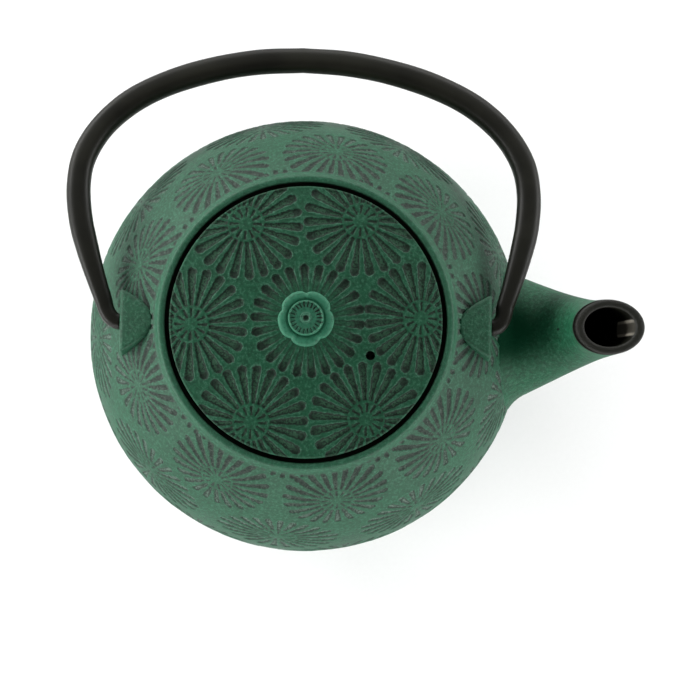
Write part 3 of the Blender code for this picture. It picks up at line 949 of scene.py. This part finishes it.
def build_handle(black):
    arm = smooth_through(HOOP_HALF, 12)
    bend = smooth_through((HOOP_HALF[-1], *HOOP_BEND), 8)[1:]
    half = np.concatenate([arm, bend, [(60.4, 0.0), (59.4, 0.0), (PIN_END_X + 0.4, 0.0), (PIN_END_X, 0.0)]])
    route = np.concatenate([half[::-1] * (-1, 1), half[1:]])
    radius = rod_radius(route[:, 1], np.abs(route[:, 0]))
    radius[[0, -1]] -= 0.4
    lean = (HOOP_LEAN[0] + HOOP_LEAN[1] * route[:, 1]) * np.minimum(1, route[:, 1] / HOOP_HALF[-1][1])
    route = np.stack([route[:, 0] - lean, route[:, 1]], 1)
    tangent = np.gradient(route, axis=0)
    tangent /= np.linalg.norm(tangent, axis=1, keepdims=True)
    side = np.stack([-tangent[:, 1], tangent[:, 0]], 1)
    around = 40
    turn = angles(around)
    flat = 1 - 0.05 * np.cos(4 * turn)  # a rolled rod is a little squared
    wide, shade_amount = np.cos(turn) * flat, np.sin(turn) * flat
    forged = 1 + 0.008 * np.sin(np.arange(len(route)) * 0.31)
    size_at = (radius * forged)[:, None]
    plane = route[:, None, :] + side[:, None, :] * (size_at * wide)[..., None]
    out = size_at * shade_amount
    drop = -HANDLE_DROP
    y = plane[..., 1] * math.cos(drop) - out * math.sin(drop)
    z = plane[..., 1] * math.sin(drop) + out * math.cos(drop) + PIVOT_Z
    rings = np.stack([plane[..., 0], y, z], -1)
    points, faces = rings.reshape(-1, 3), loft_faces(len(rings), around)
    mesh_piece("bail_rod", points, faces, "handle", "handle_black", ["bail_handle"], [black], sharp=50)


# The infuser ----------------------------------------------------------

INFUSER_R, INFUSER_FOOT_R, INFUSER_BOTTOM, INFUSER_TOP, INFUSER_WALL = 40.0, 38.0, 50.0, 96.9, 0.6
RIM_R, RIM_THICK = 44.9, 1.0
HOLE = 0.29  # radius of a hole in cells
CELL = 2.1  # height of the wall's cells and side of the floor's
COLUMNS, ROWS = 112, 18
HOLES_FROM, STRAIGHT_FROM = INFUSER_BOTTOM + 2.0, INFUSER_TOP - 8  # the wall widens up to STRAIGHT_FROM
FLOOR_MARGIN = 2.2  # width of the plain edge round the floor's holes


def build_rim(metal):
    """The flat ring by which the infuser hangs."""
    turned = Turned()
    low = SEAT_Z + GAP
    high, inner, edge = low + RIM_THICK, INFUSER_R + GAP, RIM_R - 0.4
    outer = ((RIM_R, low + 0.3), (RIM_R, high - 0.3))
    turned.outline(((inner, low), (edge, low), *outer, (edge, high), (inner, high)), 160)
    turned.close()
    turned.piece("infuser_ring", "infuser", "infuser_steel", ["infuser_rim"], [metal], sharp=30)


def cell_loops(u, v):
    """The 8 outline points of each square cell and its octagonal hole's 8 points, as cells x 16 x 2."""
    u, v = (grid.ravel() for grid in np.meshgrid(u, v, indexing="ij"))
    square = np.array([(1, 0), (1, 1), (0, 1), (-1, 1), (-1, 0), (-1, -1), (0, -1), (1, -1)]) / 2
    turn = angles(8)
    hole = np.stack([np.cos(turn), np.sin(turn)], 1) * HOLE
    centre = np.stack([u, v], 1)[:, None]
    return np.concatenate([centre + square, centre + hole], 1)


def cell_faces(count):
    """Faces of the cells' two skins and of the holes' walls. Each skin has count points."""
    cell = np.arange(0, count, 16)[:, None]
    i, j = cell + np.arange(8), cell + (np.arange(8) + 1) % 8
    skin = np.stack([i, j, j + 8, i + 8], -1).reshape(-1, 4)
    bore = np.stack([i + 8, j + 8, j + 8 + count, i + 8 + count], -1).reshape(-1, 4)
    return [skin, skin[:, ::-1] + count, bore]


def strips(base, around, rings):
    """Faces between neighbouring rings of points that start at base."""
    return [band(base + k * around, base + (k + 1) * around, around) for k in range(rings - 1)]


def wall_at(u, v):
    """Azimuth, radius and height of the basket's outside at a place in columns and rows."""
    z = HOLES_FROM + v * CELL
    share = np.clip((z - INFUSER_BOTTOM) / (STRAIGHT_FROM - INFUSER_BOTTOM), 0, 1)
    return u * TURN / COLUMNS, INFUSER_FOOT_R + (INFUSER_R - INFUSER_FOOT_R) * share, z


def perforated_wall(metal):
    """The basket: a thin wall with rows of holes, plain strips above and below, and a turned-in foot."""
    loops = cell_loops(np.arange(COLUMNS), np.arange(ROWS) + 0.5)
    angle, radius, z = wall_at(loops[..., 0], loops[..., 1])
    points = []
    for r in (radius, radius - INFUSER_WALL):
        points.append(np.stack([r * np.cos(angle), r * np.sin(angle), z], -1).reshape(-1, 3))
    count = len(points[0])
    _, r_top, z_top = wall_at(0.0, ROWS)
    _, r_low, z_low = wall_at(0.0, 0.0)
    out, inside, top = INFUSER_R, INFUSER_R - INFUSER_WALL, INFUSER_TOP
    brim = (
        (r_top, z_top), (out, top - 4), (out, top - 0.2), (out - 0.2, top),
        (inside + 0.15, top), (inside, top - 0.2), (inside, top - 4), (r_top - INFUSER_WALL, z_top),
    )
    out, low, over = INFUSER_FOOT_R, INFUSER_BOTTOM, INFUSER_BOTTOM + INFUSER_WALL
    foot = (
        (r_low - INFUSER_WALL, z_low), (out - INFUSER_WALL, low + 1.2), (out - 1.3, over), (out - 2.0, over),
        (out - 2.0, low), (out - 0.8, low), (out, low + 0.9), (r_low, z_low),
    )
    faces, base, around = cell_faces(count), 2 * count, COLUMNS * 2
    turn = angles(around) - 0.5 * TURN / COLUMNS
    for profile in (brim, foot):
        for r, z in profile:
            points.append(np.stack([r * np.cos(turn), r * np.sin(turn), np.full(around, z)], 1))
        faces += strips(base, around, len(profile))
        base += around * len(profile)
    perforated_piece("infuser_wall", points, faces, "infuser_basket", metal)


def perforated_piece(name, points, faces, node, metal):
    """Joins cells and strips, which share points, into one closed piece."""
    points = np.concatenate(points)
    piece = mesh_piece(name, points, faces, "infuser", "infuser_steel", [node], [metal], sharp=None, closed=False)
    bm = bmesh.new()
    bm.from_mesh(piece.data)
    bmesh.ops.remove_doubles(bm, verts=bm.verts, dist=2e-6)
    bmesh.ops.recalc_face_normals(bm, faces=bm.faces)
    bm.to_mesh(piece.data)
    bm.free()
    piece.data.shade_smooth()
    piece.data.set_sharp_from_angle(angle=math.radians(35))


def perforated_floor(metal):
    """A disc with rows of holes on a square grid, which is bent so that its outline is round."""
    low = INFUSER_BOTTOM + INFUSER_WALL + GAP
    high, edge = low + INFUSER_WALL, INFUSER_FOOT_R - INFUSER_WALL - 3 * GAP
    rows = int((edge - FLOOR_MARGIN) / CELL)

    def bent(place):
        span, far = np.abs(place).max(-1), np.linalg.norm(place, axis=-1)
        blend = np.clip(span / (rows * CELL), 0, 1) ** 1.5
        return place * (1 + (span / np.maximum(far, 1e-9) - 1) * blend)[..., None]

    cells = np.arange(-rows, rows) + 0.5
    loops = bent(cell_loops(cells, cells) * CELL).reshape(-1, 2)
    count = len(loops)
    ticks = np.arange(-2 * rows, 2 * rows) / 2
    side = np.full(len(ticks), rows)
    sides = ((side, ticks), (-ticks, side), (-side, -ticks), (ticks, -side))
    outline = bent(np.concatenate([np.stack(xy, 1) for xy in sides]) * CELL)
    heading = outline / np.linalg.norm(outline, axis=1, keepdims=True)
    around = len(outline)
    rings = (
        (outline, high), (heading * (edge - 0.15), high), (heading * edge, high - 0.15),
        (heading * edge, low + 0.15), (heading * (edge - 0.15), low), (outline, low),
    )
    levels = ((loops, low), (loops, high), *rings)
    points = [np.column_stack([xy, np.full(len(xy), z)]) for xy, z in levels]
    faces = cell_faces(count) + strips(2 * count, around, len(rings))
    perforated_piece("infuser_disc", points, faces, "infuser_floor", metal)


# Camera, lights and floor ---------------------------------------------

CAMERA_AZIMUTH, CAMERA_ELEVATION = math.radians(1.0), math.radians(84.99)
CAMERA_DISTANCE = 0.9
CAMERA_LENS = 132.5
CAMERA_YAW, CAMERA_PITCH = -0.01712, -0.00553  # the teapot stands left of the frame's middle and a bit high
GLOW_LOW, GLOW_HIGH = 0.75, 0.15  # strength of the surroundings at the horizon and overhead
BOX_ELEVATION, BOX_DISTANCE, BOX_WIDTH, BOX_HEIGHT = 14, 2.6, 2.13, 1.0
BOXES = ((15, 53.0), (75, 45.0), (135, 81.0), (195, 84.0), (255, 43.5), (315, 56.0))  # azimuth and power
FLOOR_REACH, FLOOR_DROP = 8.0, 0.0005  # half the floor's side, and its depth under the foot


def build_camera():
    target = Vector((0, 0, BELLY_Z * MM))
    flat, up = math.cos(CAMERA_ELEVATION), math.sin(CAMERA_ELEVATION)
    heading = Vector((math.sin(CAMERA_AZIMUTH) * flat, -math.cos(CAMERA_AZIMUTH) * flat, up))
    data = bpy.data.cameras.new("camera")
    data.lens, data.sensor_width = CAMERA_LENS, 36.0
    data.clip_start = 0.01
    camera = add_object("camera", data)
    facing = Euler((math.pi / 2 - CAMERA_ELEVATION, 0, CAMERA_AZIMUTH)).to_matrix().to_4x4()
    turned = facing @ Matrix.Rotation(CAMERA_YAW, 4, "Y") @ Matrix.Rotation(CAMERA_PITCH, 4, "X")
    camera.matrix_world = Matrix.Translation(target + heading * CAMERA_DISTANCE) @ turned
    bpy.context.scene.camera = camera


def soft_box(azimuth, power):
    """An area light that faces the teapot from an azimuth in degrees, where 0 is +X."""
    name = f"box_{azimuth}"
    data = bpy.data.lights.new(name, "AREA")
    data.shape, data.size, data.size_y, data.energy = "RECTANGLE", BOX_WIDTH, BOX_HEIGHT, power
    light = add_object(name, data)
    a, e = math.radians(azimuth), math.radians(BOX_ELEVATION)
    place = Vector((math.cos(a) * math.cos(e), math.sin(a) * math.cos(e), math.sin(e))) * BOX_DISTANCE
    light.location = place + Vector((0, 0, 0.05))
    light.rotation_euler = (-place).to_track_quat("-Z", "Y").to_euler()


def build_world():
    """Soft surroundings that are bright at the horizon and dim overhead."""
    world = bpy.data.worlds.new("studio")
    world.use_nodes = True
    tree = world.node_tree
    coordinate = tree.nodes.new("ShaderNodeTexCoord")
    split = tree.nodes.new("ShaderNodeSeparateXYZ")
    tree.links.new(coordinate.outputs["Generated"], split.inputs[0])
    up = Socket(tree, split.outputs[2])
    backdrop = tree.nodes["Background"]
    backdrop.inputs["Color"].default_value = (1, 1, 1, 1)
    feed(tree, backdrop.inputs["Strength"], GLOW_LOW - step(0.05, 0.70, up) * (GLOW_LOW - GLOW_HIGH))
    bpy.context.scene.world = world


def build_stage():
    """A pale floor, and six soft boxes round the teapot."""
    floor_mesh = bpy.data.meshes.new("floor")
    corners = [(x * FLOOR_REACH, y * FLOOR_REACH, 0) for x, y in ((-1, -1), (1, -1), (1, 1), (-1, 1))]
    floor_mesh.from_pydata(corners, [], [(0, 1, 2, 3)])
    floor_mesh.materials.append(plain_floor())
    floor_obj = add_object("floor", floor_mesh)
    floor_obj.location.z = -FLOOR_DROP
    build_world()
    for azimuth, power in BOXES:
        soft_box(azimuth, power)
    bpy.context.scene.view_settings.view_transform = "Standard"


def neck_paler(x, y, z):
    """How much paler the enamel is painted from the neck's fillet up."""
    return step(96.4, 97.6, z) * 0.16


def spout_root_shade(x, y, z):
    """Painted shade round the spout's root, where the concave corner between spout and pot lies in shade, from 0
    to 0.95.
    """
    return 0.95 * (1 - step(0.35, 1.2, hypot((x - 67) / 16.5, y / 14.5)))


def main():
    build_camera()
    build_stage()
    pot_green = enamel(
        "pot_green", lambda x, y, z: body_marks(x, y, z, 0.0), bed=POT_BED, grit_and_sheen=POT_GRAIN_SHEEN, paler=neck_paler,
        pits=((-51.0, 0.6),),
    )
    lid_green = enamel(
        "lid_green", lambda x, y, z: lid_marks(x, y, 0.0), ground=LID_GREEN, low=LID_GREEN_LOW, shine=0.21
    )
    plain_green = enamel("plain_green")
    spout_green = enamel(
        "spout_green", ground=SPOUT_GREEN, shine=0.20, painted_shade=spout_root_shade, black_above=LIP_BLACK_FROM,
        pits=((84.4, 0.2),),
    )
    knob_green = enamel("knob_green", knob_relief, KNOB_GREEN, KNOB_GREEN_LOW)
    inside_black = black_enamel("inside_black")
    for half in (build_upper(pot_green, inside_black), build_lower(pot_green, inside_black)):
        carve(half, cutter("bore", spout_rings(SPOUT_WALL_ALONG, SPOUT_WALL, 4)))
    build_spout(spout_green, black_enamel("spout_black", 0.38, LIP_BLACK, shine=0.09, paler=mouth_highlight))
    for side in (-1, 1):
        build_lug(side, plain_green)
    build_lid(lid_green, inside_black)
    build_knob(knob_green)
    build_washer(steel("washer_steel", WASHER_STEEL, 0.4, (1, 1, 0.1)))
    build_handle(black_enamel("handle_black", 0.42, HANDLE_BLACK, (0.25, 0.25, 1.6)))
    build_rim(steel("rim_steel", RIM_STEEL, 0.27, (0.2, 0.2, 1)))
    mesh_metal = steel("mesh_steel", MESH_STEEL, 0.34, (0.2, 0.2, 1))
    perforated_wall(mesh_metal)
    perforated_floor(mesh_metal)


main()
